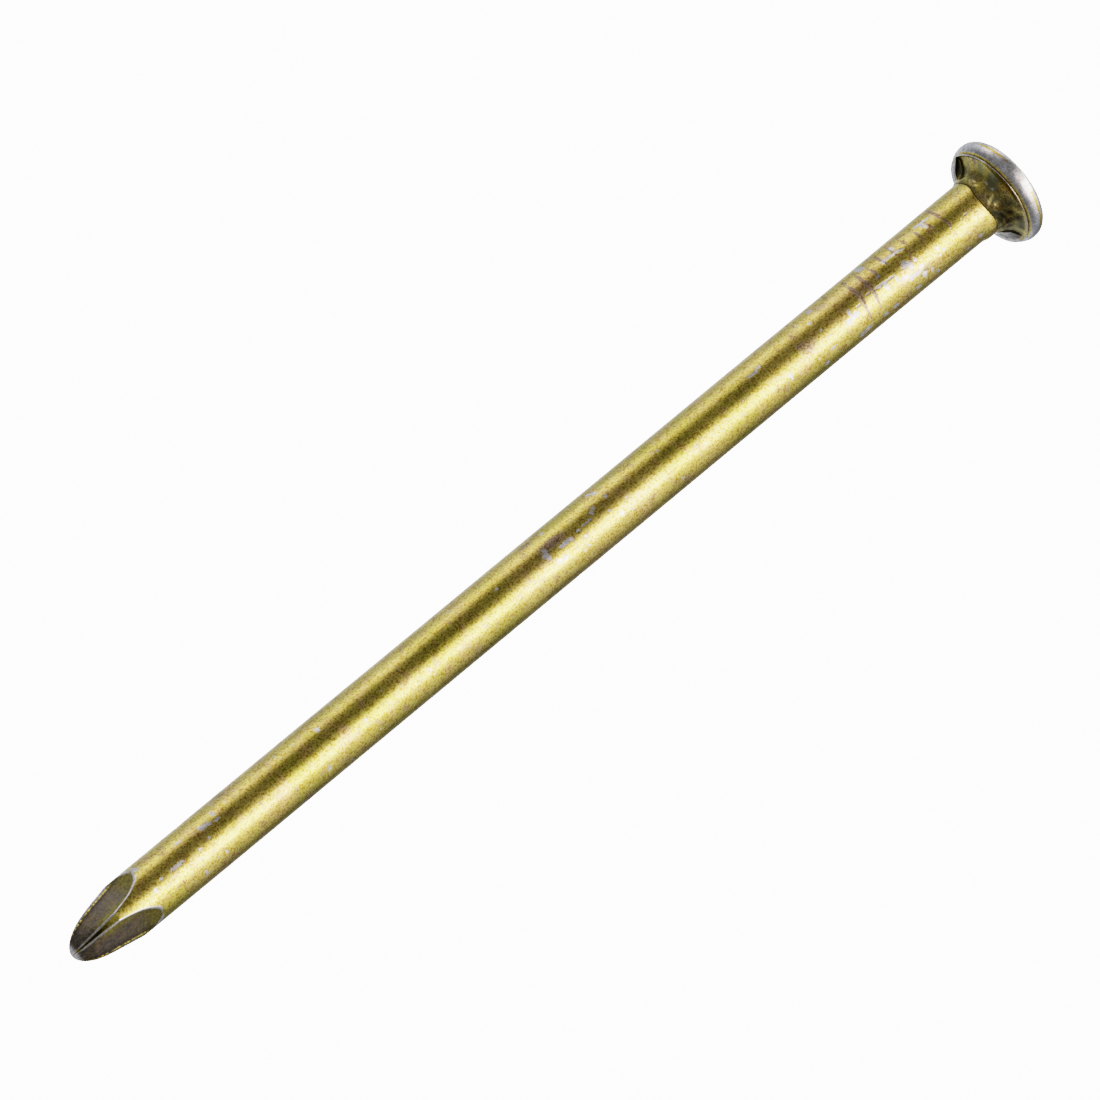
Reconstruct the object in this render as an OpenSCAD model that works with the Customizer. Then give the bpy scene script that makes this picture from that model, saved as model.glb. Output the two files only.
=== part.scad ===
// Hardened masonry nail, cold headed from one length of round wire.
// +Z runs up the nail's axis and out of the head. The origin is the centre of the
// striking face, so the point is at z = -nail_length. The two dies that gripped
// the wire closed along Y, so their parting line runs down the sides at +X and -X.

/* [Nail] */
// Overall length, striking face to tip
nail_length = 80; // [60:1:110]
// Diameter of the wire
shank_d = 3.75; // [3.2:0.05:4.4]

/* [Head] */
// Widest diameter of the head
head_d = 7.1; // [6.4:0.05:8]
// Height of the rim, striking face to the crease under it
rim_h = 1.4; // [0.9:0.02:1.6]
// Diameter of the crease where the rim meets the under-head cone
crease_d = 6.6; // [6:0.02:7]
// Width of the rounding round the striking face, seen from above
edge_w = 0.62; // [0.3:0.02:1]
// Depth of that rounding
edge_h = 0.56; // [0.3:0.02:0.8]

/* [Neck] */
// Height of the flared cone under the rim
neck_h = 1.6; // [1.2:0.02:2.4]
// How hollow the flare is, 1 being a straight cone
flare_power = 2.8; // [1:0.05:4]

/* [Grip zone] */
// Length of the stretch of wire that the dies held
grip_h = 11.5; // [10.5:0.5:16]
// How much heading has thickened the wire at the neck, on the radius
grip_swell = 0.02; // [0.01:0.01:0.05]
// Distance from the neck to the first die mark
mark_start = 2.4; // [1:0.1:2.5]
// Number of die marks on each side
mark_count = 9; // [4:1:9]
// Distance between two die marks
mark_pitch = 0.97; // [0.7:0.01:0.97]
// Depth of a die mark
mark_depth = 0.045; // [0.02:0.005:0.08]
// Radius of the tooth that left a die mark
mark_tooth_r = 0.28; // [0.15:0.01:0.35]
// Arc of wire that each die marks, in degrees
mark_arc = 96; // [60:2:140]
// How far round from the Y axis the middle of that arc sits, in degrees
mark_turn = -24; // [-40:1:40]

/* [Point] */
// Length of the point, tip to the far ends of its four facets
point_h = 5.9; // [5:0.1:7]
// Angle between the Y axis and the square to each facet, in degrees
facet_angle = 53.5; // [45:0.5:60]
// Bluntness of the nose, a smaller power being blunter
nose_power = 0.355; // [0.3:0.005:0.6]
// Share of the wire's radius that the nose curve has reached at the facets' far ends
nose_share = 0.88; // [0.8:0.01:1]
// Share of the point's length at which the facets start to scoop outwards
scoop_start = 0.64; // [0.5:0.02:0.8]
// How much thinner the pinched wire is at the tip than at the shank, on the radius
pinch = 0.03; // [0.01:0.01:0.1]

/* [Parting flash] */
// Thickness of the thin flash left at the parting line
flash_t = 0.11; // [0.06:0.01:0.2]
// How far the flash stands out
flash_out = 0.035; // [0.02:0.005:0.06]

/* [Hidden] */
$fn = 96;

shank_r = shank_d / 2;
head_r = head_d / 2;
crease_r = crease_d / 2;
grip_top_r = shank_r + grip_swell;

// Heights of the boundaries between the zones
neck_top = -rim_h;
grip_top = neck_top - neck_h;
shank_top = grip_top - grip_h;
point_top = -nail_length + point_h;
tip_z = -nail_length;

// Height of the die mark nearest the neck
first_mark_z = grip_top - mark_start;

// Steps along each curved outline
rim_steps = 12;
flare_steps = 14;
facet_steps = 28;

// Half-length of the cutting prisms, well past the wire on both sides
reach = 2 * shank_d;

// Radius of the flare at share u of its height, 0 being the wire
function flare_r(u) = grip_top_r + (crease_r - grip_top_r) * pow(u, flare_power);

// Radius of the grip zone at height z, growing evenly from the shank to the neck
function grip_r(z) = shank_r + (grip_top_r - shank_r) * (z - shank_top) / grip_h;

// Distance of a facet from the axis at share u of the point's length, 0 being the tip
function facet_r(u) =
    shank_r * (nose_share * pow(u, nose_power)
    + (1 - nose_share) * pow(max(0, (u - scoop_start) / (1 - scoop_start)), 2));

// Steps close up towards the tip, where the nose curves most
function facet_u(i) = pow(i / facet_steps, 3);

// Rim outline from the striking face, round the widest ring and in to the crease
rim_outline = concat(
    [[0, 0]],
    [for (i = [0 : rim_steps])
        let (a = 90 - 90 * i / rim_steps)
        [head_r - edge_w + edge_w * cos(a), -edge_h + edge_h * sin(a)]],
    [for (i = [1 : rim_steps])
        let (a = 90 * i / rim_steps)
        [crease_r + (head_r - crease_r) * cos(a), -edge_h - (rim_h - edge_h) * sin(a)]],
    [[0, neck_top]]
);

// Flare outline from the crease down to the wire, standing out by a given amount
function flare_outline(out) = concat(
    [[0, neck_top]],
    [for (i = [flare_steps : -1 : 0])
        let (u = i / flare_steps)
        [flare_r(u) + out * (1 - u), grip_top + neck_h * u]],
    [[0, grip_top]]
);

// Section through two opposite facets, the tip at zero
facet_outline = concat(
    [for (i = [0 : facet_steps]) [facet_r(facet_u(i)), point_h * facet_u(i)]],
    [for (i = [facet_steps : -1 : 0]) [-facet_r(facet_u(i)), point_h * facet_u(i)]]
);

// A prism with the section of two opposite facets, square to the given angle from Y
module facet_pair(angle, widen = 0) {
    translate([0, 0, tip_z])
        rotate([0, 0, 90 + angle])
            rotate([90, 0, 0])
                linear_extrude(height = 2 * reach, center = true)
                    for (side = [-1, 1])
                        translate([side * widen, 0])
                            polygon(facet_outline);
}

// One arc of groove pressed into the wire by a tooth of a die
module die_mark(z, side) {
    translate([0, 0, z])
        rotate([0, 0, side * 90 + mark_turn - mark_arc / 2])
            rotate_extrude(angle = mark_arc)
                translate([grip_r(z) + mark_tooth_r - mark_depth, 0])
                    circle(r = mark_tooth_r, $fn = 32);
}

// A thin upright slab on the parting line, which the flash is cut from
module parting_slab(z, height) {
    translate([-reach, -flash_t / 2, z])
        cube([2 * reach, flash_t, height]);
}

module head() {
    color("#b8b6ab")
        rotate_extrude()
            polygon(rim_outline);
}

module neck() {
    color("#857635") {
        rotate_extrude()
            polygon(flare_outline(0));
        intersection() {
            rotate_extrude()
                polygon(flare_outline(flash_out));
            parting_slab(grip_top, neck_h);
        }
    }
}

module grip_zone() {
    color("#c4a955")
        difference() {
            translate([0, 0, shank_top])
                cylinder(r1 = shank_r, r2 = grip_top_r, h = grip_h);
            for (side = [-1, 1])
                for (i = [0 : mark_count - 1])
                    die_mark(first_mark_z - i * mark_pitch, side);
        }
}

module shank() {
    color("#cdb567")
        translate([0, 0, point_top])
            cylinder(r = shank_r, h = shank_top - point_top);
}

// The end of the wire, thinned a little towards the tip by the pinching dies
module point_blank() {
    translate([0, 0, tip_z])
        cylinder(r1 = shank_r - pinch, r2 = shank_r, h = point_h);
}

module point() {
    color("#5b5340") {
        intersection() {
            point_blank();
            facet_pair(facet_angle);
            facet_pair(-facet_angle);
        }
        intersection() {
            point_blank();
            facet_pair(facet_angle, flash_out);
            facet_pair(-facet_angle, flash_out);
            parting_slab(tip_z, point_h);
        }
    }
}

head();
neck();
grip_zone();
shank();
point();
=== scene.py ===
import math
import bpy
import numpy as np
from mathutils import Matrix, Vector


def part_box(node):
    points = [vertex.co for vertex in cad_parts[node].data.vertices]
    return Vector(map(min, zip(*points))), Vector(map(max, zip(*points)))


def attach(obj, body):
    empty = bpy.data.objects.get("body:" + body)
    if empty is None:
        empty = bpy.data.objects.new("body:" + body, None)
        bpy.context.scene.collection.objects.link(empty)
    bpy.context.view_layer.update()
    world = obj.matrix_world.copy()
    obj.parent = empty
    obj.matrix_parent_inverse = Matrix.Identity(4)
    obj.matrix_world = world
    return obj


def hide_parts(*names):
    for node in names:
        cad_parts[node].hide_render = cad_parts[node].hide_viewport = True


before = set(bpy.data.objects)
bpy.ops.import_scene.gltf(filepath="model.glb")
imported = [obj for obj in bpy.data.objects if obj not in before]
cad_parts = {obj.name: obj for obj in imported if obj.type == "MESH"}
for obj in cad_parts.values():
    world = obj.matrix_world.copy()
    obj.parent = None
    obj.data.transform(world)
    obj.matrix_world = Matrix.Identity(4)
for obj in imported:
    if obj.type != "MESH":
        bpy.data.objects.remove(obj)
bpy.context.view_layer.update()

mm = 0.001

# Angles round the wire are measured from -Y, the side that faces the camera, towards +X.
# Heights are in millimetres below the striking face, so they are negative.
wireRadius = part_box("shank")[1][0] / mm
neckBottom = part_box("neck")[0][2] / mm
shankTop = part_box("shank")[1][2] / mm
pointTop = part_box("shank")[0][2] / mm
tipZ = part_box("point")[0][2] / mm
print("frame read: wire", round(2 * wireRadius, 3), "mm, length", round(-tipZ, 1), "mm")


# smooth ramp from 0 at low to 1 at high, flat at both ends
def softStep(x, low, high):
    t = np.clip((x - low) / (high - low), 0, 1)
    return t * t * (3 - 2 * t)


# smaller of two surfaces, the edge between them rounded over about "soft" millimetres
def softMin(a, b, soft):
    h = np.clip(0.5 + 0.5 * (b - a) / soft, 0, 1)
    return b + (a - b) * h - soft * h * (1 - h)


# shortest way round from one angle to another, in radians
def angleGap(phi, centre):
    return (phi - centre + math.pi) % (2 * math.pi) - math.pi


# sum of seeded cosines, whole turns round the wire so that it closes, about -1 to 1
def ripple(phi, z, seed, turns, wave, count=20):
    rng = np.random.default_rng(seed)
    total = np.zeros(np.broadcast(phi, z).shape)
    for _ in range(count):
        k = rng.integers(-turns, turns + 1)
        total = total + np.cos(k * phi + 2 * math.pi * z / wave * rng.uniform(-1, 1) + rng.uniform(0, 6.3))
    return total / math.sqrt(count)


# one bell-shaped spot for each row (height, angle, half-length, half-width, strength), added up
def spotSum(phi, z, radius, spots):
    total = np.zeros(np.broadcast(phi, z).shape)
    for height, angle, halfLength, halfWidth, strength in spots:
        across = radius * angleGap(phi, math.radians(angle)) / halfWidth
        total = total + strength * np.exp(-((z - height) / halfLength) ** 2 - across ** 2)
    return total


# seeded spots between two heights: size and strength give the least and the most
def scatterSpots(seed, count, low, high, size, strength):
    rng = np.random.default_rng(seed)
    height = rng.uniform(low, high, count)
    angle = rng.uniform(-180, 180, count)
    length = rng.uniform(*size, count)
    width = length * rng.uniform(0.4, 1.1, count)
    return np.stack([height, angle, length, width, rng.uniform(*strength, count)], 1)


# point at share t of the way from b to c, on the smooth curve that also heeds the neighbours a and d
def alongSpan(a, b, c, d, t):
    bend = 2 * a - 5 * b + 4 * c - d
    twist = 3 * b - a - 3 * c + d
    return 0.5 * (2 * b + (c - a) * t + bend * t ** 2 + twist * t ** 3)


# smooth curve through the points (Catmull-Rom), sampled evenly by its length
def smoothLine(points, count):
    p = np.array(points, float)
    p = np.vstack([2 * p[0] - p[1], p, 2 * p[-1] - p[-2]])
    t = np.linspace(0, 1, 24, endpoint=False)[:, None]
    spans = [alongSpan(a, b, c, d, t) for a, b, c, d in zip(p[:-3], p[1:-2], p[2:-1], p[3:])]
    line = np.vstack(spans + [p[-2:-1]])
    walked = np.concatenate([[0], np.cumsum(np.hypot(*np.diff(line, axis=0).T))])
    steps = np.linspace(0, walked[-1], count)
    return np.stack([np.interp(steps, walked, line[:, 0]), np.interp(steps, walked, line[:, 1])], 1)


# the angles of one turn, the last one left out because the grid wraps
def turn(columns):
    return np.linspace(-math.pi, math.pi, columns, endpoint=False)[None, :]


# A closed piece from rings of points: each row is one ring, top to bottom, and a fan closes each end.
# x = offset + r sin(angle), y = -r cos(angle). Marks are numbers that the materials read at each point:
# chip (film knocked off), shade (painted shade in corners, crevices, grooves and on shaded sides, with some
# grime mottling), wear (rubbed bright, with a painted glint on the neck's lip and a painted edge reflection
# along the point's outline), film (yellow film left), bruise (film turned mauve-brown where a tool pressed),
# cut (facets).
def addPiece(name, node, radius, phi, z, marks, offset=0.0, sharpTop=True, sharpBottom=True):
    radius, phi, z, offset = np.broadcast_arrays(radius, phi, z, offset)
    rows, columns = radius.shape
    ring = np.stack([offset + radius * np.sin(phi), -radius * np.cos(phi), z], -1).reshape(-1, 3)
    ends = np.array([[offset[0, 0], 0, z[0].mean()], [offset[-1, 0], 0, z[-1].mean()]])
    points = np.vstack([ring, ends]) * mm
    here = np.arange(rows * columns).reshape(rows, columns)
    beside = np.roll(here, -1, axis=1)
    quads = np.stack([here[:-1], here[1:], beside[1:], beside[:-1]], -1).reshape(-1, 4)
    top = np.stack([np.full(columns, len(ring)), here[0], beside[0]], -1)
    bottom = np.stack([np.full(columns, len(ring) + 1), beside[-1], here[-1]], -1)
    mesh = bpy.data.meshes.new(name)
    mesh.from_pydata(points.tolist(), [], quads.tolist() + top.tolist() + bottom.tolist())
    mesh.polygons.foreach_set("use_smooth", np.ones(len(mesh.polygons), bool))
    for label in ("chip", "shade", "wearAndSheen", "film", "bruise", "cut"):
        value = np.broadcast_to(marks.get(label, 0.0), radius.shape)
        flat = np.concatenate([value.ravel(), [value[0].mean(), value[-1].mean()]])
        mesh.attributes.new(label, "FLOAT", "POINT").data.foreach_set("value", flat.astype(np.float32))
    edges = np.empty(len(mesh.edges) * 2, int)
    mesh.edges.foreach_get("vertices", edges)
    edges = edges.reshape(-1, 2)
    sharp = np.zeros(len(edges), bool)
    if sharpTop:
        sharp |= (edges < columns).all(1)
    if sharpBottom:
        sharp |= ((edges >= (rows - 1) * columns) & (edges < rows * columns)).all(1)
    mesh.attributes.new("sharp_edge", "BOOLEAN", "EDGE").data.foreach_set("value", sharp)
    mesh.update()
    piece = bpy.data.objects.new(name, mesh)
    bpy.context.collection.objects.link(piece)
    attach(piece, "root")
    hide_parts(node)
    print("made", name, "with", len(mesh.polygons), "faces")
    return piece


wire = dict(
    bow=0.006, fine=0.0012, swell=0.02, heel=0.11, plating=0.012,
    dentCount=170, dentDepth=(0.003, 0.014), dentSize=(0.07, 0.28), chipDepth=0.006,
    chipStrength=1.4, chipEdge=(0.45, 0.6),
)
wireDents = scatterSpots(11, wire["dentCount"], pointTop - 2, neckBottom - 0.4, wire["dentSize"],
                         wire["dentDepth"])


# radius of the drawn wire at an angle and a height: the wire's radius and its plating, a faint waviness,
# the swell that heading leaves towards the neck, more of it on the +X side, and small dents from tumbling
def wireSurface(phi, z):
    heel = wire["heel"] * softStep(z, neckBottom - 0.6, neckBottom + 0.05) * softStep(np.sin(phi), 0.5, 1.0)
    swell = wire["swell"] * np.clip((z - shankTop) / (neckBottom - shankTop), 0, 1) + heel
    wavy = wire["bow"] * ripple(phi, z, 3, 2, 14) + wire["fine"] * ripple(phi, z, 4, 14, 1.1, 30)
    return wireRadius + wire["plating"] + swell + wavy - spotSum(phi, z, wireRadius, wireDents)


# patches where the yellow film has chipped off: height, angle, half-length, half-width. These rows were
# worked out by a separate measuring script and pasted in.
chipPlaces = [
    (-4.0, 53, 0.20, 0.15), (-5.1, 60, 0.20, 0.14), (-6.3, -47, 0.33, 0.11), (-6.8, -39, 0.20, 0.31),
    (-6.9, 22, 0.11, 0.10), (-7.1, -49, 0.27, 0.12), (-7.2, 14, 0.13, 0.12), (-7.3, 26, 0.13, 0.10),
    (-7.8, 53, 0.17, 0.15), (-8.2, 40, 0.13, 0.16), (-8.8, 20, 0.20, 0.13), (-8.8, 37, 0.21, 0.30),
    (-8.9, 3, 0.13, 0.18), (-9.1, -28, 0.20, 0.10), (-9.3, 26, 0.27, 0.15), (-9.4, -46, 0.17, 0.26),
    (-9.4, 5, 0.20, 0.30), (-9.5, -32, 0.33, 0.11), (-9.5, 53, 0.27, 0.15), (-9.7, -6, 0.20, 0.18),
    (-9.8, 1, 0.27, 0.10), (-9.8, 26, 0.27, 0.15), (-10.0, -34, 0.20, 0.11), (-10.2, 17, 0.33, 0.13),
    (-10.5, -34, 0.27, 0.18), (-10.7, 9, 0.11, 0.24), (-11.0, 0, 0.27, 0.08), (-11.5, 0, 0.20, 0.09),
    (-11.5, 54, 0.27, 0.15), (-11.6, -17, 0.20, 0.13), (-11.6, 9, 0.13, 0.24), (-11.8, -61, 0.33, 0.38),
    (-12.0, -2, 0.33, 0.09), (-12.4, 54, 0.27, 0.15), (-12.9, -4, 0.20, 0.07), (-13.9, 2, 0.20, 0.07),
    (-13.9, 54, 0.27, 0.13), (-14.1, 54, 0.33, 0.12), (-14.3, 11, 0.20, 0.18), (-14.7, 2, 0.13, 0.30),
    (-14.5, 57, 0.27, 0.15), (-14.8, 13, 0.40, 0.14), (-15.1, 17, 0.13, 0.10), (-16.3, -57, 0.27, 0.22),
    (-16.9, -7, 0.13, 0.10), (-16.9, 34, 0.40, 0.09), (-17.1, -33, 0.20, 0.11), (-17.6, 55, 0.27, 0.17),
    (-20.4, 25, 0.13, 0.27), (-21.7, -30, 0.27, 0.11), (-22.4, -26, 0.40, 0.09), (-35.0, 19, 0.13, 0.13),
    (-35.1, -26, 0.17, 0.13), (-35.4, -47, 0.20, 0.18), (-35.6, 0, 0.13, 0.08), (-35.7, -55, 0.20, 0.14),
    (-36.3, -24, 0.13, 0.13), (-36.6, -18, 0.20, 0.16), (-37.1, -10, 0.20, 0.08), (-37.5, -10, 0.20, 0.08),
    (-37.9, 8, 0.11, 0.08), (-38.0, -8, 0.20, 0.09), (-38.0, 27, 0.11, 0.09), (-38.4, 29, 0.11, 0.10),
    (-38.7, -3, 0.13, 0.12), (-39.1, -6, 0.33, 0.16), (-39.5, -5, 0.33, 0.11), (-39.7, -54, 0.20, 0.13),
    (-39.8, 16, 0.20, 0.16), (-40.3, 14, 0.20, 0.16), (-40.6, -17, 0.20, 0.22), (-40.7, -4, 0.17, 0.24),
    (-40.9, -10, 0.13, 0.12), (-44.6, -21, 0.20, 0.10), (-59.4, -33, 0.20, 0.22), (-68.0, -38, 0.17, 0.23),
    (-68.1, -22, 0.27, 0.10), (-68.7, -27, 0.27, 0.14), (-68.8, 37, 0.13, 0.12), (-69.2, -29, 0.27, 0.21),
    (-69.3, -5, 0.13, 0.10), (-70.2, 1, 0.20, 0.10), (-70.6, 45, 0.13, 0.25), (-70.9, -36, 0.40, 0.10),
    (-71.8, -3, 0.40, 0.12), (-72.3, -3, 0.33, 0.11), (-73.3, -3, 0.20, 0.10), (-74.0, -55, 0.27, 0.37),
]
# bruised patches: height, angle, half-length, half-width, strength. These are from the same measuring
# script, with their strengths, and a few of their sizes and angles, set by hand.
bruisePlaces = [
    (-15.7, -45, 0.8, 0.35, 0.6), (-18.8, -11, 0.53, 0.2, 0.5), (-23.9, 1, 0.8, 0.2, 0.6),
    (-39.9, -22, 1.25, 0.36, 1.1), (-41.0, -57, 0.93, 0.33, 0.7), (-72.7, 29, 0.35, 0.1, 0.8),
]
chipSpots = np.array([place + (wire["chipStrength"],) for place in chipPlaces])
looseBruises = scatterSpots(41, 60, pointTop, neckBottom, (0.25, 1.1), (0.25, 0.6))
bruiseSpots = np.vstack([bruisePlaces, looseBruises])
looseChips = scatterSpots(29, 170, pointTop, neckBottom, (0.06, 0.20), (0.5, 1.05))


# how far the film is gone: the listed chips and the loose ones, added up
def chipField(phi, z):
    return spotSum(phi, z, wireRadius, np.vstack([chipSpots, looseChips]))


# how far the film is bruised: the listed patches and the loose ones, added up
def bruiseField(phi, z):
    return spotSum(phi, z, wireRadius, bruiseSpots)


# depth lost in a chip: the chip depth, where the chips add up to more than about one half
def chipLoss(chips):
    return wire["chipDepth"] * softStep(chips, *wire["chipEdge"])


# plain drawn wire: radius = wire surface - depth lost in chips
def makeShank():
    phi = turn(120)
    z = np.linspace(shankTop, pointTop, 801)[:, None]
    chips = chipField(phi, z)
    radius = wireSurface(phi, z) - chipLoss(chips)
    marks = dict(chip=chips, bruise=bruiseField(phi, z), film=1.0)
    return addPiece("shank_wire", "shank", radius, phi, z, marks)


grip = dict(
    first=-5.60, pitch=0.984, depth=0.020, halfWidth=0.13, stain=1.05,
    # the nine marks of each die, from the head down: angles where it starts and ends, and how deep it is
    marks=((-62, 14, 0.8), (-60, -14, 0.6), (-62, -14, 0.75), (-60, -16, 0.6), (-58, -22, 0.6),
           (-62, -24, 0.7), (-50, -18, 0.35), (-60, 34, 0.8), (-58, 42, 1.0)),
    dies=(0, 180), lean=(-0.16, 0.10), fadeOut=14, seed=5,
)


# the toothed dies press a short row of arcs into each side of the wire: each arc is a narrow bell along
# the wire, exp(-(distance / half-width) ^ 2), fades out at its two ends, leans a little and is worn in places
def dieMarks(phi, z):
    rng = np.random.default_rng(grip["seed"])
    total = np.zeros(np.broadcast(phi, z).shape)
    for die in grip["dies"]:
        for i, (start, end, strength) in enumerate(grip["marks"]):
            lean = rng.uniform(*grip["lean"])
            gap = angleGap(phi, math.radians(die + (start + end) / 2))
            height = grip["first"] - i * grip["pitch"] + lean * gap + 0.03 * np.sin(7 * gap + i)
            reach, soft = math.radians(end - start) / 2, math.radians(grip["fadeOut"])
            fade = 1 - softStep(np.abs(gap), reach - soft, reach + soft)
            worn = 0.75 + 0.35 * ripple(phi, z, 40 + i, 16, 0.9, 8)
            wide = grip["halfWidth"] * (1 - 0.35 * softStep(gap, 0, reach))
            total = total + strength * fade * worn * np.exp(-((z - height) / wide) ** 2)
    return total


# the wire that the dies held: radius = wire surface - depth * die marks - depth lost in chips
def makeGripZone():
    phi = turn(360)
    z = np.linspace(neckBottom, shankTop, 271)[:, None]
    chips = chipField(phi, z)
    marks = dieMarks(phi, z)
    radius = wireSurface(phi, z) - grip["depth"] * marks - chipLoss(chips)
    pressed = bruiseField(phi, z) + grip["stain"] * np.sqrt(np.clip(marks, 0, 1))
    return addPiece("grip_zone_wire", "grip_zone", radius, phi, z,
                    dict(chip=chips, bruise=pressed, film=1.0))


neck = dict(
    # outline from the groove under the rim down to the wire: radius and height
    outline=[(3.27, -1.345), (3.31, -1.37), (3.32, -1.405), (3.27, -1.432), (3.12, -1.415), (2.90, -1.45),
             (2.63, -1.585), (2.40, -1.74), (2.24, -1.95), (2.145, -2.2), (2.095, -2.42), (2.05, -2.62),
             (1.99, -2.79)],
    corner=(1.905, -2.945), cornerLow=(1.902, -3.0), cornerRise=0.31, offCentre=0.115,
    # thin flash fins where the dies met: angle, then the edge's heights and radii
    fins=((-87, (-2.62, -2.10, -1.49, -1.405), (1.98, 2.60, 3.28, 3.30)),
          (87, (-2.92, -2.03, -1.82, -1.405), (1.95, 2.29, 2.42, 3.12))),
    finHalfWidth=0.05, gritty=0.005, tilted=0.20,
    # these spots are rubbed zinc and also paint the pale highlight across the flare
    # spots rubbed through to the zinc: height, angle, half-length, half-width, strength. Their heights
    # and angles are close to what the same measuring script gave.
    rubbedAndHighlightSpots=((-1.91, -22, 0.10, 0.18, 1.0), (-1.91, -9, 0.10, 0.2, 1.0), (-2.5, 31, 0.16, 0.2, 0.8)),
    middleRadius=2.2,
)
rim = dict(
    # outline from the groove up round the rim to the striking face: radius and height
    outline=[(3.27, -1.345), (3.275, -1.31), (3.33, -1.25), (3.43, -1.18), (3.51, -1.03), (3.575, -0.80),
             (3.60, -0.58), (3.585, -0.40), (3.535, -0.25), (3.43, -0.12), (3.27, -0.035), (3.04, -0.006),
             (2.75, 0.0)],
    wobble=0.010, hammered=0.004, dish=0.014,
)


# how far heading has pushed the rim off round: a slow wobble and small hammered waves
def headRelief(phi, z):
    return rim["wobble"] * ripple(phi, z, 8, 4, 6, 8) + rim["hammered"] * ripple(phi, z, 9, 26, 0.9, 26)


# the head sits a little askew, so the lip under its rim rises from the front round to the back:
# rise = tilted * (1 - cos(angle)) / 2
def headTilt(phi):
    return neck["tilted"] * (1 - np.cos(phi)) / 2


# sideways shift of the head, which was upset a little off the wire's centre: none at the corner with
# the wire, and all of offCentre from a height of -1.8 up
def headOffset(z):
    return neck["offCentre"] * softStep(z, neck["corner"][1], -1.8)


# trumpet flare from the lip down to the corner with the wire, with its two fins:
# radius = flare + relief + (fin's edge - flare, or 0) * exp(-(distance across / half-width) ^ 4)
def makeNeck():
    phi = turn(480)
    flare = smoothLine(neck["outline"] + [neck["corner"]], 150)
    wireEnd = np.linspace(neck["corner"], neck["cornerLow"], 16)[1:]
    line = np.vstack([flare, wireEnd])
    base, z = line[:, :1], line[:, 1:]
    high = softStep(z, neck["corner"][1] - 0.02, neck["corner"][1] + 0.12)
    rough = (neck["gritty"] * ripple(phi, z, 21, 34, 0.45, 40)
             * softStep(z, -2.93, -2.7) * softStep(-z, 1.42, 1.5))
    onWire = wireSurface(phi, z) - wireRadius - wire["swell"] - wire["plating"]
    relief = (1 - high) * onWire + high * headRelief(phi, z)
    radius = base + relief + rough
    proud = np.zeros(radius.shape)
    wall = np.zeros(radius.shape)
    for angle, heights, radii in neck["fins"]:
        edge = np.interp(z, heights, radii, left=0, right=0)
        across = np.abs(base * angleGap(phi, math.radians(angle)))
        step = np.maximum(edge - base, 0)
        profile = np.exp(-(across / neck["finHalfWidth"]) ** 4)
        proud = proud + step * profile
        # painted shade: the fin's side walls and the flare at their foot are darkened as crevices in shade
        side = softStep(profile, 0.25, 0.7) * (1 - softStep(profile, 0.93, 0.99))
        foot = 0.3 * np.exp(-((across - 0.08) / 0.06) ** 2)
        wall = np.maximum(wall, softStep(step, 0.02, 0.1) * np.maximum(side, foot))
    # painted shade: a dark line along the corner with the wire and in the groove under the rim
    corner = 0.7 * np.exp(-((z - neck["corner"][1] - 0.02) / 0.05) ** 2)
    groove = 0.8 * np.exp(-((z + 1.345) / 0.02) ** 2)
    # the lip under the rim is marked as rubbed zinc, which also paints its bright glint, a third weaker on
    # the +X side
    lip = (np.exp(-((base - 3.30) / 0.07) ** 2) * softStep(-z, 1.355, 1.38)
           * (1 - 0.35 * softStep(np.sin(phi), 0.1, 0.6)))
    back = softStep(np.abs(phi), 1.56, 1.75) * softStep(base, 2.25, 2.8)
    # painted shade over the back half of the flare, from a radius of 2.1 out, fading away towards the rim
    beyond = (0.75 * softStep(np.abs(phi), 1.54, 1.60)
              * softStep(base, 2.1, 2.3) * softStep(-base, -3.36, -2.80))
    finEdge = softStep(proud, 0.05, 0.15) * (1 - wall)
    # bare zinc spots, which also paint the pale highlight across the flare
    polishAndHighlight = spotSum(phi, z, neck["middleRadius"], neck["rubbedAndHighlightSpots"])
    # painted shade: the +X half of the flare, between radii of about 2 and 3.2, is darker
    underside = softStep(np.sin(phi), -0.15, 0.4) * softStep(base, 1.95, 2.1) * softStep(-base, -3.2, -3.0)
    filmLost = np.clip(0.5 + 0.35 * ripple(phi, z, 33, 18, 0.8, 16), 0, 1)
    filmLeft = 1 - high * filmLost * softStep(-z, 1.40, 1.44)
    # grime mottling over the flare, plus the painted shade of its +X half
    mottled = high * (0.20 + 0.10 * ripple(phi, z, 32, 30, 0.45, 24) + 0.36 * underside)
    shadeAndDirt = np.maximum(np.maximum(wall, corner), np.maximum(groove, np.maximum(mottled, beyond)))
    # wear mark: the lip rubbed to zinc and painted bright as its glint, the back of the flare rubbed to zinc,
    # and a faint rub along the fin edges
    worn = np.maximum(np.maximum(0.9 * lip, 0.75 * back), 0.12 * finEdge)
    pressed = high * (0.30 + 0.22 * ripple(phi, z, 31, 26, 0.6, 22))
    marks = dict(shade=shadeAndDirt, film=filmLeft, chip=polishAndHighlight, wearAndSheen=worn, bruise=pressed)
    shift = headOffset(z)
    rise = neck["cornerRise"] * softStep(np.abs(np.sin(phi)), 0.15, 0.8)
    atCorner = softStep(z, neck["cornerLow"][1], neck["corner"][1]) * (1 - softStep(z, -2.75, -1.95))
    z = z + rise * atCorner + headTilt(phi) * softStep(z, -2.5, -1.6)
    return addPiece("neck_flare", "neck", radius + proud, phi, z, marks, shift)


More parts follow.
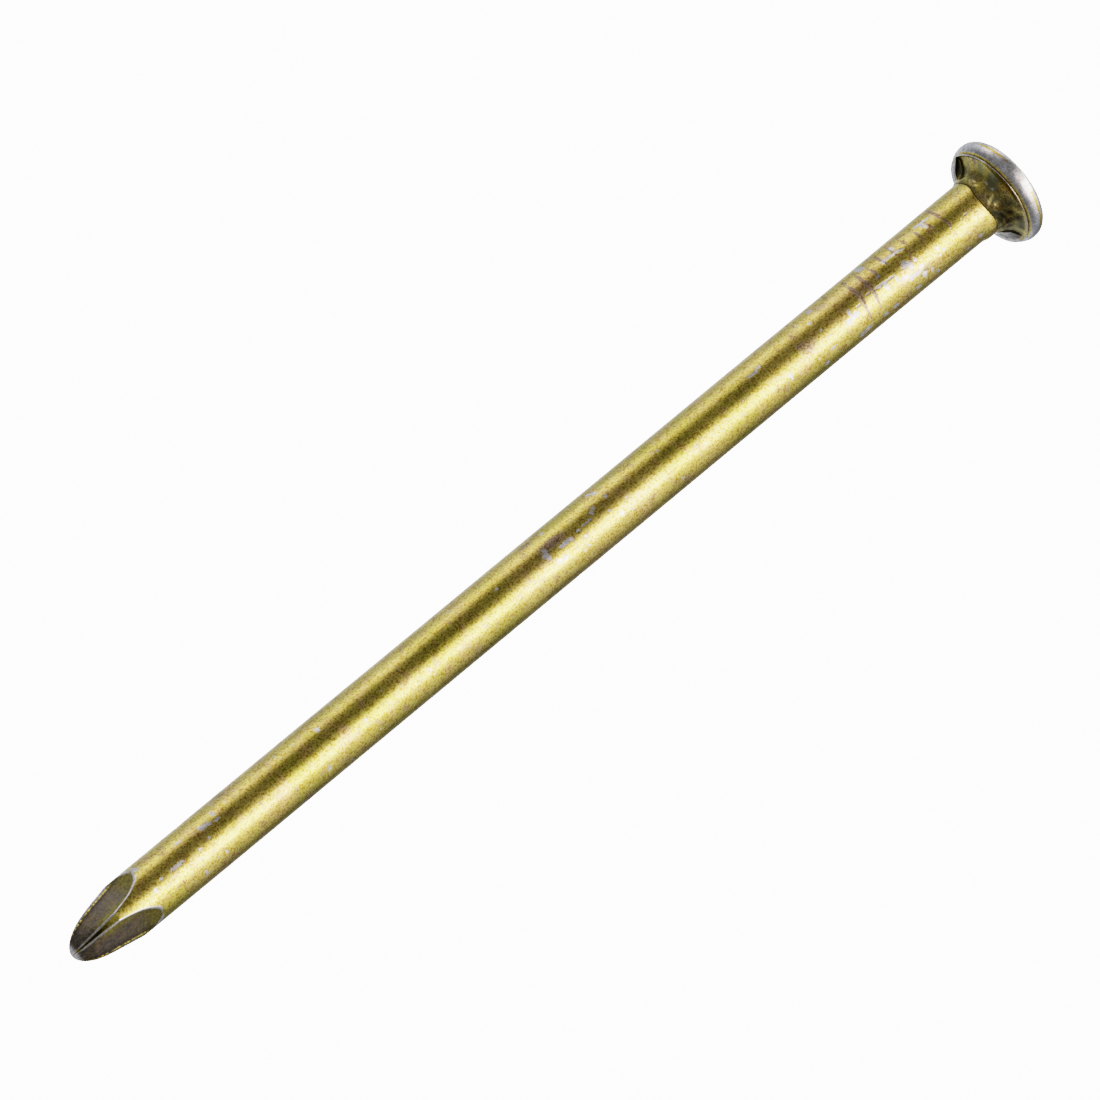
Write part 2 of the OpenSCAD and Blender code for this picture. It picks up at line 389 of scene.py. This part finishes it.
# rim outline turned round the axis, closed by the striking face, which is dished a little
def makeHead():
    phi = turn(480)
    line = smoothLine(rim["outline"], 120)[::-1]
    face = np.linspace(0.02, line[0, 0], 60, endpoint=False)
    radius = np.concatenate([face, line[:, 0]])[:, None]
    height = np.concatenate([np.zeros(len(face)), line[:, 1]])[:, None]
    outward = softStep(radius, 2.6, 3.2) * softStep(height, -1.345, -1.15)
    dish = rim["dish"] * softStep(-radius, -2.9, -2.1) * (0.6 + 0.4 * ripple(phi, radius, 12, 5, 2.5, 14))
    onRim = softStep(radius, 3.0, 3.2)
    uneven = 0.9 + 0.35 * ripple(phi, 0 * height, 14, 7, 5, 9)
    edgeFilm = uneven * np.exp(-((height + 0.52) / 0.12) ** 2) * onRim
    # front is 1 on the side facing the camera (-Y) and fades round the back; the groove's film and its
    # painted shade are kept to the front
    front = 1 - 0.9 * softStep(np.abs(phi), 1.2, 1.8)
    grooveFilm = softStep(-height, 1.17, 1.24) * onRim * front
    marks = dict(film=np.maximum(edgeFilm, grooveFilm) + 0.35 * (1 - onRim),
                 # shade: painted shade in the groove under the rim
                 shade=0.7 * softStep(-height, 1.24, 1.32) * onRim * front, bruise=0.25)
    relief = outward * headRelief(phi, height) * softStep(-height, 0.0, 0.1)
    z = height - dish + headTilt(phi) * softStep(-height, 0.7, 1.3) * onRim
    return addPiece("head_rim", "head", radius + relief, phi, z, marks,
                    neck["offCentre"], sharpTop=False)


nose = dict(
    facetAngle=53.5, roll=-0.8, lean=0.07, soft=0.035, landHalfWidth=(0.12, 0.045),
    capCurve=1.2, capSoft=0.3, ridgeWidth=0.055, outOfReach=99.0,
    # share of the wire's radius that the facets are from the axis, by height above the tip
    heights=(0, 0.1, 0.3, 0.6, 1.0, 1.6, 2.3, 3.0, 3.6, 4.25, 4.7, 5.1, 5.4, 5.7, 5.9),
    shares=(0.10, 0.24, 0.345, 0.425, 0.496, 0.574, 0.643, 0.702, 0.749, 0.800, 0.845, 0.897, 0.94, 0.982,
            1.0),
    flashOut=0.055, flashHalfWidth=0.06, flashAngle=82, pinch=0.03,
)


# the wire cut down by four facets, two to each die, with softened ridges, a narrow land along the
# front and back ridges, thin beaded flash beside the two side ridges, and a rounded tip:
# radius = smallest of wire, facet / cos(angle to facet), land / cos(angle to land) and cap * sqrt(height)
def makePoint():
    phi = turn(420)
    above = (pointTop - tipZ) * np.linspace(1, 0.02, 233)[:, None] ** 2.2
    z = tipZ + above
    u = above / (pointTop - tipZ)
    blank = wireSurface(phi, z) - nose["pinch"] * (1 - u)
    distance = wireRadius * np.interp(above, nose["heights"], nose["shares"])
    cuts = np.full(blank.shape, nose["outOfReach"])
    nearest = []
    for angle in (nose["facetAngle"], -nose["facetAngle"], 180 - nose["facetAngle"],
                  nose["facetAngle"] - 180):
        facing = np.cos(angleGap(phi, math.radians(angle + nose["roll"])))
        plane = np.where(facing > 0.05, distance / np.maximum(facing, 0.05), nose["outOfReach"])
        nearest.append(plane)
        cuts = softMin(cuts, plane, nose["soft"] * np.minimum(1, distance))
    slope = math.radians(nose["facetAngle"])
    landHalf = nose["landHalfWidth"][0] + nose["landHalfWidth"][1] * above
    landHeight = (distance - landHalf * math.sin(slope)) / math.cos(slope)
    for angle in (0, 180):
        facing = np.cos(angleGap(phi, math.radians(angle + nose["roll"])))
        reach = np.maximum(landHeight, 0.02) / np.maximum(facing, 0.05)
        plane = np.where(facing > 0.05, reach, nose["outOfReach"])
        nearest.append(plane)
    land = np.minimum(nearest[4], nearest[5])
    cap = nose["capCurve"] * np.sqrt(above)
    pinched = softMin(softMin(blank, cuts, nose["soft"]), land, 0.02)
    radius = softMin(pinched, cap, nose["capSoft"] * np.minimum(1, cap))
    order = np.sort(np.stack(nearest[:4] + [np.minimum(blank, land)]), axis=0)
    onLand = softStep(cuts - land, -0.005, 0.02) * softStep(blank - land, 0.0, 0.02)
    width = nose["ridgeWidth"] * (1 + 0.9 * softStep(-above, -3.6, -2.8))
    ridge = np.exp(-((order[1] - order[0]) / width) ** 2) * softStep(-above, -5.88, -5.7)
    facet = softStep(blank - np.minimum(cuts, cap), 0.0, 0.03) * (1 - onLand)
    rng = np.random.default_rng(17)
    beads = 0.55 + 0.45 * np.interp(above, np.linspace(0, 6, 60), rng.uniform(-1, 1, 60))
    flash = np.zeros(radius.shape)
    side = np.zeros(radius.shape)
    for angle in (-nose["flashAngle"], nose["flashAngle"]):
        across = radius * angleGap(phi, math.radians(angle))
        flash = flash + np.exp(-(across / nose["flashHalfWidth"]) ** 2)
        side = side + np.exp(-(across / 0.45) ** 2)
    turned = np.degrees(np.abs(phi))
    flash = flash * beads * softStep(above, 0.2, 0.5) * softStep(-above, -5.0, -4.4)
    # painted edge reflection: a zinc-grey band just behind each flash, where the point's outline lies as seen
    # from -Y, joined with the rubbed tip
    outer = softStep(turned, 83.5, 86.5) * (1 - softStep(turned, 98, 108)) * softStep(-above, -5.0, -4.2)
    worn = np.maximum(0.7 * outer, 0.62 * softStep(-above, -0.45, -0.12))
    filmLeft = np.maximum(1 - facet, np.clip(1.5 * flash, 0, 1))
    inner = np.exp(-(np.sin(phi) / 0.45) ** 2)
    endOlive = np.maximum(0.6 * softStep(above, 3.2, 5.6), 0.75 * inner * softStep(above, 0.8, 2.4))
    marks = dict(cut=np.clip(facet * (1 - 1.5 * flash), 0, 1), film=filmLeft + endOlive * facet,
                 wearAndSheen=np.maximum(ridge * softStep(above, 0.15, 0.4), worn) * np.clip(1 - 2 * flash, 0, 1),
                 # shade: painted shade on the land down the front and back near the tip, and on the facets
                 # towards the point's sides
                 shade=np.maximum(0.8 * onLand * softStep(-above, -3.3, -1.5) * (1 - ridge),
                                  0.55 * side * facet * np.clip(1 - 2 * flash - 2 * worn, 0, 1)),
                 chip=chipField(phi, z), bruise=bruiseField(phi, z))
    return addPiece("point_nose", "point", radius + nose["flashOut"] * flash, phi, z, marks,
                    nose["lean"] * softStep(-above, -3.0, 0.0), sharpBottom=False)


# sRGB hex to linear red, green, blue
def colour(code):
    parts = [int(code[i:i + 2], 16) / 255 for i in (1, 3, 5)]
    return tuple(c / 12.92 if c <= 0.04045 else ((c + 0.055) / 1.055) ** 2.4 for c in parts) + (1.0,)


# noise scale that gives blotches of about this size in millimetres
def blotch(size):
    return 1000.0 / size


# adds a node, sets its properties and inputs, and links what is a socket; i0, i1 ... are inputs by number
def add(tree, kind, settings=None, **inputs):
    node = tree.nodes.new(kind)
    for key, value in (settings or {}).items():
        setattr(node, key, value)
    for key, value in inputs.items():
        byNumber = key[0] == "i" and key[1:].isdigit()
        socket = node.inputs[int(key[1:]) if byNumber else key.replace("_", " ")]
        if isinstance(value, bpy.types.NodeSocket):
            tree.links.new(value, socket)
        else:
            socket.default_value = value
    return node


# a material with an empty node tree
def newMaterial(name):
    material = bpy.data.materials.new(name)
    material.use_nodes = True
    tree = material.node_tree
    tree.nodes.clear()
    return material, tree


rgba = dict(data_type="RGBA")
multiply = dict(data_type="RGBA", blend_type="MULTIPLY")
smooth = dict(interpolation_type="SMOOTHSTEP")

film = dict(
    gold="#f2e18a", olive="#dad26e", peach="#f3d0a0", mauve="#bfa68c", bruise="#b3a397", pit="#57451f",
    # the darkest colour here, #2a2412, is for painted shade and for grime mottling
    pale="#f6ecc8", shadeAndDirtTone="#2a2412", thin="#8f8f6c", grainDark="#bba469", grainLight="#fffdf2",
    driftSize=3.5, stainSize=0.8, pitSize=0.26, grainSize=0.13, lineWidth=0.12, lineLength=4.0,
    roughness=(0.15, 0.29), rougher=0.03, coarser=1.6, pressedRough=0.16,
    grainHeight=0.0044, lineHeight=0.0016, coat=0.45, coatRough=0.12,
    # heights between which the plating grows rougher and its grain coarser, towards the head
    growFrom=-45, growTo=-20,
)


# Yellow passivated zinc: a thin chromate film over bright zinc plate. To the eye it is gold that drifts
# to olive, with mauve stains, dark pits, faint lines along the wire and a fine glitter of grain. The
# grain is drawn at 0.13 mm, coarser than the real plating, so that it shows.
# Gives the film's colour, its roughness and its height.
def yellowFilm(tree):
    place = add(tree, "ShaderNodeTexCoord").outputs["Object"]
    drift = add(tree, "ShaderNodeTexNoise", Vector=place, Scale=blotch(film["driftSize"]), Detail=3.0)
    toOlive = add(tree, "ShaderNodeMapRange", smooth, Value=drift.outputs[0], From_Min=0.38, From_Max=0.64)
    drifted = add(tree, "ShaderNodeMix", rgba, i0=toOlive.outputs[0], i6=colour(film["gold"]),
                  i7=colour(film["olive"]))
    flush = add(tree, "ShaderNodeTexNoise", Vector=place, Scale=blotch(0.5 * film["driftSize"]), Detail=5.0,
                Roughness=0.7)
    toPeach = add(tree, "ShaderNodeMapRange", smooth, Value=flush.outputs[0], From_Min=0.48, From_Max=0.66,
                  To_Max=0.65)
    base = add(tree, "ShaderNodeMix", rgba, i0=toPeach.outputs[0], i6=drifted.outputs[2],
               i7=colour(film["peach"]))
    stain = add(tree, "ShaderNodeTexNoise", Vector=place, Scale=blotch(film["stainSize"]), Detail=4.0,
                Distortion=0.8)
    toMauve = add(tree, "ShaderNodeMapRange", smooth, Value=stain.outputs[0], From_Min=0.55, From_Max=0.70,
                  To_Max=0.75)
    mauve = add(tree, "ShaderNodeMix", rgba, i0=toMauve.outputs[0], i6=base.outputs[2],
                i7=colour(film["mauve"]))
    pressed = ragged(tree, "bruise", 0.7, 0.25, 0.75)
    stained = add(tree, "ShaderNodeMix", rgba, i0=pressed, i6=mauve.outputs[2], i7=colour(film["bruise"]))
    grain = add(tree, "ShaderNodeTexNoise", Vector=place, Scale=blotch(film["grainSize"]), Detail=3.0,
                Roughness=0.7)
    light = add(tree, "ShaderNodeMapRange", Value=grain.outputs[0], From_Min=0.39, From_Max=0.53)
    glint = add(tree, "ShaderNodeMix", rgba, i0=light.outputs[0], i6=colour(film["grainDark"]),
                i7=colour(film["grainLight"]))
    grained = add(tree, "ShaderNodeMix", multiply, i0=1.0, i6=stained.outputs[2], i7=glint.outputs[2])
    stretch = (1000 / film["lineWidth"], 1000 / film["lineWidth"], 1000 / film["lineLength"])
    along = add(tree, "ShaderNodeMapping", Vector=place, Scale=stretch)
    lines = add(tree, "ShaderNodeTexNoise", Vector=along.outputs[0], Scale=1.0, Detail=2.0)
    faint = add(tree, "ShaderNodeMapRange", Value=lines.outputs[0], From_Min=0.3, From_Max=0.7, To_Min=0.92,
                To_Max=1.05)
    lined = add(tree, "ShaderNodeMix", multiply, i0=1.0, i6=grained.outputs[2], i7=faint.outputs[0])
    specks = add(tree, "ShaderNodeTexNoise", Vector=place, Scale=blotch(film["pitSize"]), Detail=3.0,
                 Roughness=0.65)
    isPit = add(tree, "ShaderNodeMapRange", smooth, Value=specks.outputs[0], From_Min=0.66, From_Max=0.74,
                To_Max=0.75)
    pitted = add(tree, "ShaderNodeMix", rgba, i0=isPit.outputs[0], i6=lined.outputs[2],
                 i7=colour(film["pit"]))
    isPale = add(tree, "ShaderNodeMapRange", smooth, Value=specks.outputs[0], From_Min=0.36, From_Max=0.28,
                 To_Max=0.7)
    flecked = add(tree, "ShaderNodeMix", rgba, i0=isPale.outputs[0], i6=pitted.outputs[2],
                  i7=colour(film["pale"]))
    low, high = film["roughness"]
    uneven = add(tree, "ShaderNodeMapRange", Value=stain.outputs[0], From_Min=0.3, From_Max=0.7, To_Min=low,
                 To_Max=high)
    parts = add(tree, "ShaderNodeSeparateXYZ", Vector=place)
    toHead = add(tree, "ShaderNodeMapRange", smooth, Value=parts.outputs[2],
                 From_Min=film["growFrom"] * mm, From_Max=film["growTo"] * mm,
                 To_Max=film["rougher"])
    plain = add(tree, "ShaderNodeMath", dict(operation="ADD"), i0=uneven.outputs[0], i1=toHead.outputs[0])
    rough = add(tree, "ShaderNodeMath", dict(operation="MULTIPLY_ADD"), i0=pressed, i1=film["pressedRough"],
                i2=plain.outputs[0])
    lineHeight = add(tree, "ShaderNodeMath", dict(operation="MULTIPLY"), i0=lines.outputs[0],
                     i1=film["lineHeight"] / film["grainHeight"])
    relief = add(tree, "ShaderNodeMath", dict(operation="ADD"), i0=grain.outputs[0],
                 i1=lineHeight.outputs[0])
    coarser = add(tree, "ShaderNodeMapRange", smooth, Value=parts.outputs[2],
                  From_Min=film["growFrom"] * mm, From_Max=film["growTo"] * mm,
                  To_Min=1.0, To_Max=film["coarser"])
    height = add(tree, "ShaderNodeMath", dict(operation="MULTIPLY"), i0=relief.outputs[0],
                 i1=coarser.outputs[0])
    return flecked.outputs[2], rough.outputs[0], height.outputs[0]


zinc = dict(
    light="#fbfbfd", grey="#dcdcdf", scuffDark="#d2d2d6", scuffLight="#fefefe",
    rubbed=(0.18, 0.34), chipped=(0.22, 0.40), patchSize=0.45, scuffSize=0.16, raggedSize=0.10,
    # a chip's raggedness, and the marks between which it goes from film to zinc
    chipEdge=(3.0, 0.64, 0.74),
)


# Bare zinc plate, rubbed and tumbled: to the eye a silver grey with a cool cast and soft grey patches
def bareZinc(tree, roughness):
    place = add(tree, "ShaderNodeTexCoord").outputs["Object"]
    patch = add(tree, "ShaderNodeTexNoise", Vector=place, Scale=blotch(zinc["patchSize"]), Detail=4.0,
                Distortion=0.5)
    amount = add(tree, "ShaderNodeMapRange", smooth, Value=patch.outputs[0], From_Min=0.38, From_Max=0.62)
    tone = add(tree, "ShaderNodeMix", rgba, i0=amount.outputs[0], i6=colour(zinc["light"]),
               i7=colour(zinc["grey"]))
    scuff = add(tree, "ShaderNodeTexNoise", Vector=place, Scale=blotch(zinc["scuffSize"]), Detail=3.0,
                Roughness=0.7)
    pale = add(tree, "ShaderNodeMapRange", Value=scuff.outputs[0], From_Min=0.38, From_Max=0.58)
    mark = add(tree, "ShaderNodeMix", rgba, i0=pale.outputs[0], i6=colour(zinc["scuffDark"]),
               i7=colour(zinc["scuffLight"]))
    scuffed = add(tree, "ShaderNodeMix", multiply, i0=1.0, i6=tone.outputs[2], i7=mark.outputs[2])
    low, high = roughness
    rough = add(tree, "ShaderNodeMapRange", Value=patch.outputs[0], From_Min=0.3, From_Max=0.7, To_Min=low,
                To_Max=high)
    return scuffed.outputs[2], rough.outputs[0]


# A point's mark with a ragged edge: smooth step of the mark plus fine noise around one half
def ragged(tree, label, raggedness, low, high):
    place = add(tree, "ShaderNodeTexCoord").outputs["Object"]
    mark = add(tree, "ShaderNodeAttribute", dict(attribute_name=label))
    noise = add(tree, "ShaderNodeTexNoise", Vector=place, Scale=blotch(zinc["raggedSize"]), Detail=4.0,
                Roughness=0.6)
    centred = add(tree, "ShaderNodeMath", dict(operation="MULTIPLY_ADD"), i0=noise.outputs[0],
                  i1=raggedness, i2=-0.5 * raggedness)
    both = add(tree, "ShaderNodeMath", dict(operation="ADD"), i0=mark.outputs["Fac"], i1=centred.outputs[0])
    step = add(tree, "ShaderNodeMapRange", smooth, Value=both.outputs[0], From_Min=low, From_Max=high)
    return step.outputs[0]


# darkens by the shade mark (painted shade in corners, crevices, grooves and on shaded sides, plus grime
# mottling), bumps the surface, and ends the tree in a metal shader
def finishMetal(tree, tone, rough, height):
    shadeAndDirt = ragged(tree, "shade", 0.5, 0.15, 0.85)
    shadedAndSoiled = add(tree, "ShaderNodeMix", rgba, i0=shadeAndDirt, i6=tone, i7=colour(film["shadeAndDirtTone"]))
    bump = add(tree, "ShaderNodeBump", Strength=1.0, Distance=film["grainHeight"] * mm, Height=height)
    shader = add(tree, "ShaderNodeBsdfPrincipled", Base_Color=shadedAndSoiled.outputs[2], Metallic=1.0,
                 Roughness=rough, Normal=bump.outputs[0], Coat_Weight=film["coat"],
                 Coat_Roughness=film["coatRough"])
    add(tree, "ShaderNodeOutputMaterial", Surface=shader.outputs[0])


# Yellow passivated zinc on the wire, chipped to bare zinc in places
def makeYellowZinc():
    material, tree = newMaterial("yellowPassivatedZinc")
    filmTone, filmRough, height = yellowFilm(tree)
    zincTone, zincRough = bareZinc(tree, zinc["chipped"])
    thick = add(tree, "ShaderNodeAttribute", dict(attribute_name="film"))
    thinned = add(tree, "ShaderNodeMix", rgba, i0=thick.outputs["Fac"], i6=colour(film["thin"]),
                  i7=filmTone)
    chipped = ragged(tree, "chip", *zinc["chipEdge"])
    # rubbed: the wear mark, rubbed zinc and, on the neck's lip, a painted glint
    rubbed = ragged(tree, "wearAndSheen", 0.6, 0.3, 0.9)
    worn = add(tree, "ShaderNodeMath", dict(operation="MAXIMUM"), i0=chipped, i1=rubbed)
    tone = add(tree, "ShaderNodeMix", rgba, i0=worn.outputs[0], i6=thinned.outputs[2], i7=zincTone)
    rough = add(tree, "ShaderNodeMix", i0=worn.outputs[0], i2=filmRough, i3=zincRough)
    finishMetal(tree, tone.outputs[2], rough.outputs[0], height)
    return material


# Zinc plate tumbled against other nails: bright and silver on the proud rim, with the yellow film
# left in the groove, along the outer edge and in flecks on the face
def makeTumbledZinc():
    material, tree = newMaterial("tumbledZinc")
    filmTone, filmRough, height = yellowFilm(tree)
    zincTone, zincRough = bareZinc(tree, zinc["rubbed"])
    left = ragged(tree, "film", 1.5, 0.45, 0.7)
    tone = add(tree, "ShaderNodeMix", rgba, i0=left, i6=zincTone, i7=filmTone)
    rough = add(tree, "ShaderNodeMix", i0=left, i2=zincRough, i3=filmRough)
    finishMetal(tree, tone.outputs[2], rough.outputs[0], height)
    return material


steel = dict(dark="#80776d", brown="#8e816b", olive="#a39a50", roughness=(0.28, 0.45), cloudSize=1.2,
             grainSize=0.16)


# Steel pinched to a point under thin dark plating: charcoal brown facets that turn olive in patches,
# with bright rubbed ridges, and the yellow film on the wire beside them
def makePinchedSteel():
    material, tree = newMaterial("pinchedSteel")
    filmTone, filmRough, height = yellowFilm(tree)
    zincTone, zincRough = bareZinc(tree, zinc["rubbed"])
    place = add(tree, "ShaderNodeTexCoord").outputs["Object"]
    cloud = add(tree, "ShaderNodeTexNoise", Vector=place, Scale=blotch(steel["cloudSize"]), Detail=4.0)
    amount = add(tree, "ShaderNodeMapRange", smooth, Value=cloud.outputs[0], From_Min=0.4, From_Max=0.6)
    brown = add(tree, "ShaderNodeMix", rgba, i0=amount.outputs[0], i6=colour(steel["dark"]),
                i7=colour(steel["brown"]))
    speck = add(tree, "ShaderNodeTexNoise", Vector=place, Scale=blotch(steel["grainSize"]), Detail=3.0)
    isOlive = ragged(tree, "film", 0.9, 0.1, 0.75)
    olive = add(tree, "ShaderNodeMix", rgba, i0=isOlive, i6=brown.outputs[2], i7=colour(steel["olive"]))
    light = add(tree, "ShaderNodeMapRange", Value=speck.outputs[0], From_Min=0.3, From_Max=0.7, To_Min=0.7,
                To_Max=1.25)
    facetTone = add(tree, "ShaderNodeMix", multiply, i0=1.0, i6=olive.outputs[2], i7=light.outputs[0])
    low, high = steel["roughness"]
    facetRough = add(tree, "ShaderNodeMapRange", Value=speck.outputs[0], From_Min=0.3, From_Max=0.7,
                     To_Min=low, To_Max=high)
    onFacet = ragged(tree, "cut", 0.5, 0.35, 0.75)
    tone = add(tree, "ShaderNodeMix", rgba, i0=onFacet, i6=filmTone, i7=facetTone.outputs[2])
    rough = add(tree, "ShaderNodeMix", i0=onFacet, i2=filmRough, i3=facetRough.outputs[0])
    chipped = ragged(tree, "chip", *zinc["chipEdge"])
    # rubbed: the wear mark, rubbed zinc on ridges and tip and a painted edge reflection along the point's
    # outline
    rubbed = ragged(tree, "wearAndSheen", 0.6, 0.35, 0.8)
    worn = add(tree, "ShaderNodeMath", dict(operation="MAXIMUM"), i0=chipped, i1=rubbed)
    tone = add(tree, "ShaderNodeMix", rgba, i0=worn.outputs[0], i6=tone.outputs[2], i7=zincTone)
    rough = add(tree, "ShaderNodeMix", i0=worn.outputs[0], i2=rough.outputs[0], i3=zincRough)
    finishMetal(tree, tone.outputs[2], rough.outputs[0], height)
    return material


head = makeHead()
neckPiece = makeNeck()
gripPiece = makeGripZone()
shankPiece = makeShank()
pointPiece = makePoint()
yellowZinc = makeYellowZinc()
head.data.materials.append(makeTumbledZinc())
for piece in (neckPiece, gripPiece, shankPiece):
    piece.data.materials.append(yellowZinc)
pointPiece.data.materials.append(makePinchedSteel())
print("materials set")


studio = dict(
    tilt=24.8, axisAngle=39.573, distance=720, lens=391.5, aim=(-0.44, 0.0, -39.435),
    # brightness of the room round the nail by angle from the front: one long softbox on each side,
    # a dark gap between them, and the pale background round behind
    angles=(-180, -165, -150, -123, -106, -92, -80, -68, -57, -47, -37, -28, -18, -9, 0, 9, 18, 28,
            37, 47, 57, 68, 80, 92, 106, 123, 150, 165, 180),
    levels=(2.0, 1.2, 0.74, 0.52, 0.64, 1.0, 1.48, 1.15, 0.44, 0.20, 0.155, 0.15, 0.175, 0.26, 0.54, 1.8,
            3.7, 4.6, 5.5, 3.3, 1.75, 1.12, 0.82, 0.58, 0.38, 0.19, 0.25, 1.0, 2.0),
    floorLevel=0.19, floorBehind=0.62, background=7.0, panelTint="#fff1e6", sideTint="#f4f6fb",
    # angles from the front where the tint turns, and where the floor level turns to floorBehind
    sideFrom=70, sideTo=110, behindFrom=95, behindTo=155,
    # upward part of a direction at which the room has faded to the floor level, and at which it is full
    fadeFrom=-0.05, fadeTo=0.32,
    # height and half-size of the floor, in metres
    floorHeight=-1.4, floorHalf=5.0,
)


# The camera looks up the nail: the point comes towards it by the tilt, and the picture is turned
# so that the nail's axis rises to the right by axisAngle.
def makeCamera():
    tilt, slope = math.radians(studio["tilt"]), math.radians(studio["axisAngle"])
    back = Vector((0, -math.cos(tilt), -math.sin(tilt)))
    along = Vector((0, -math.sin(tilt), math.cos(tilt)))
    side = Vector((1, 0, 0))
    right = along * math.cos(slope) + side * math.sin(slope)
    up = along * math.sin(slope) - side * math.cos(slope)
    data = bpy.data.cameras.new("studioCamera")
    data.sensor_width = 36
    data.lens = studio["lens"]
    data.clip_start, data.clip_end = 0.01, 20
    camera = bpy.data.objects.new("studioCamera", data)
    bpy.context.collection.objects.link(camera)
    place = Vector(studio["aim"]) * mm + back * studio["distance"] * mm
    camera.matrix_world = Matrix.Translation(place) @ Matrix((right, up, back)).transposed().to_4x4()
    bpy.context.scene.camera = camera
    return camera


# White to the camera. To everything that reflects it, long soft panels round the nail: brightness by
# angle from the table above, fading to the dim floor level below the nail's own level.
def makeWorld():
    world = bpy.data.worlds.new("studioWorld")
    world.use_nodes = True
    tree = world.node_tree
    tree.nodes.clear()
    toward = add(tree, "ShaderNodeTexCoord").outputs["Generated"]
    parts = add(tree, "ShaderNodeSeparateXYZ", Vector=toward)
    front = add(tree, "ShaderNodeMath", dict(operation="MULTIPLY"), i0=parts.outputs[1], i1=-1.0)
    angle = add(tree, "ShaderNodeMath", dict(operation="ARCTAN2"), i0=parts.outputs[0], i1=front.outputs[0])
    share = add(tree, "ShaderNodeMapRange", Value=angle.outputs[0], From_Min=-math.pi, From_Max=math.pi)
    panels = add(tree, "ShaderNodeFloatCurve", Value=share.outputs[0])
    curve = panels.mapping.curves[0]
    peak = max(studio["levels"])
    places = [(a + 180) / 360 for a in studio["angles"]]
    heights = [level / peak for level in studio["levels"]]
    curve.points[0].location, curve.points[1].location = (0, heights[0]), (1, heights[-1])
    for place, height in list(zip(places, heights))[1:-1]:
        curve.points.new(place, height)
    panels.mapping.update()
    scaled = add(tree, "ShaderNodeMath", dict(operation="MULTIPLY"), i0=panels.outputs[0], i1=peak)
    above = add(tree, "ShaderNodeMapRange", smooth, Value=parts.outputs[2], From_Min=studio["fadeFrom"],
                From_Max=studio["fadeTo"])
    turned = add(tree, "ShaderNodeMath", dict(operation="ABSOLUTE"), i0=angle.outputs[0])
    floor = add(tree, "ShaderNodeMapRange", smooth, Value=turned.outputs[0],
                From_Min=math.radians(studio["behindFrom"]),
                From_Max=math.radians(studio["behindTo"]), To_Min=studio["floorLevel"],
                To_Max=studio["floorBehind"])
    level = add(tree, "ShaderNodeMix", i0=above.outputs[0], i2=floor.outputs[0], i3=scaled.outputs[0])
    warm = add(tree, "ShaderNodeMapRange", Value=level.outputs[0], From_Min=0.1, From_Max=1.0)
    tint = add(tree, "ShaderNodeMix", rgba, i0=warm.outputs[0], i6=(1, 1, 1, 1),
               i7=colour(studio["panelTint"]))
    aside = add(tree, "ShaderNodeMapRange", smooth, Value=turned.outputs[0],
                From_Min=math.radians(studio["sideFrom"]), From_Max=math.radians(studio["sideTo"]))
    cool = add(tree, "ShaderNodeMix", rgba, i0=aside.outputs[0], i6=tint.outputs[2],
               i7=colour(studio["sideTint"]))
    room = add(tree, "ShaderNodeBackground", Color=cool.outputs[2], Strength=level.outputs[0])
    white = add(tree, "ShaderNodeBackground", Color=(1, 1, 1, 1), Strength=studio["background"])
    ray = add(tree, "ShaderNodeLightPath")
    both = add(tree, "ShaderNodeMixShader", i0=ray.outputs["Is Camera Ray"], i1=room.outputs[0],
               i2=white.outputs[0])
    add(tree, "ShaderNodeOutputWorld", Surface=both.outputs[0])
    bpy.context.scene.world = world


# pale paper far below the nail
def makeFloor():
    size = studio["floorHalf"]
    mesh = bpy.data.meshes.new("pale_floor")
    mesh.from_pydata([(-size, -size, 0), (size, -size, 0), (size, size, 0), (-size, size, 0)], [],
                     [(0, 1, 2, 3)])
    floor = bpy.data.objects.new("pale_floor", mesh)
    bpy.context.collection.objects.link(floor)
    mesh.transform(Matrix.Translation((0, 0, studio["floorHeight"])))
    material, tree = newMaterial("palePaper")
    shader = add(tree, "ShaderNodeBsdfPrincipled", Base_Color=(0.9, 0.9, 0.9, 1), Roughness=0.8)
    add(tree, "ShaderNodeOutputMaterial", Surface=shader.outputs[0])
    mesh.materials.append(material)
    floor.visible_glossy = False
    return floor


makeCamera()
makeWorld()
makeFloor()
bpy.context.scene.view_settings.view_transform = "Filmic"
bpy.context.scene.view_settings.look = "High Contrast"
print("studio set")
